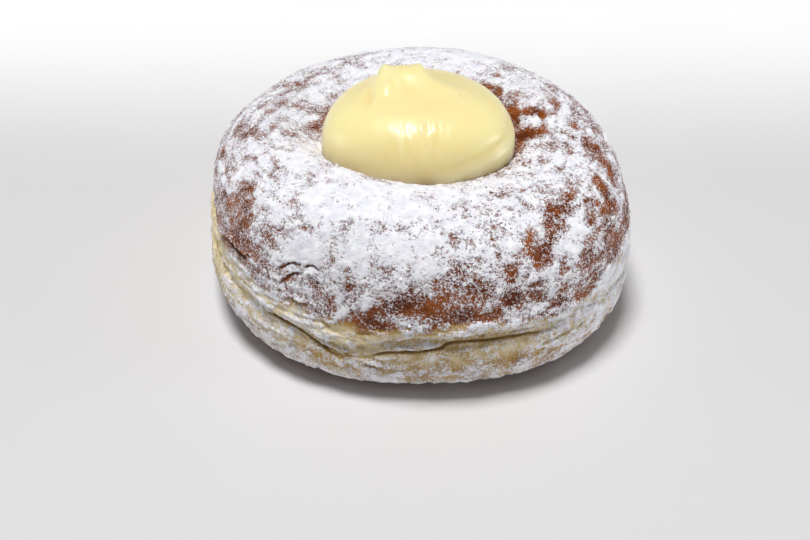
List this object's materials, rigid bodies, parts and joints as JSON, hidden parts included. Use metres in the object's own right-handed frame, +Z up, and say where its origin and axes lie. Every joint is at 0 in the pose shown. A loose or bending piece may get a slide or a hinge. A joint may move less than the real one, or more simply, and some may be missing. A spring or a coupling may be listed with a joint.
{
  "type": "cream-topped doughnut",
  "caption": "Round fried yeast doughnut with an uneven crease round its waist, dusted with powdered sugar, with a mound of yellow custard cream in its well.",
  "frame": {"origin": "under the middle of the doughnut's box, on the surface it rests on", "axes": "+Z up, -Y towards the pictured front, +X to its right"},
  "size_m": [0.0958, 0.0968, 0.0571],
  "materials": {
    "fried_dough": "fried crust, matte, dusted with powdered sugar",
    "custard_cream": "smooth custard cream with a soft sheen"
  },
  "bodies": {
    "root": {"dough": "fried_dough", "custard_cream": "custard_cream"}
  },
  "joints": []
}
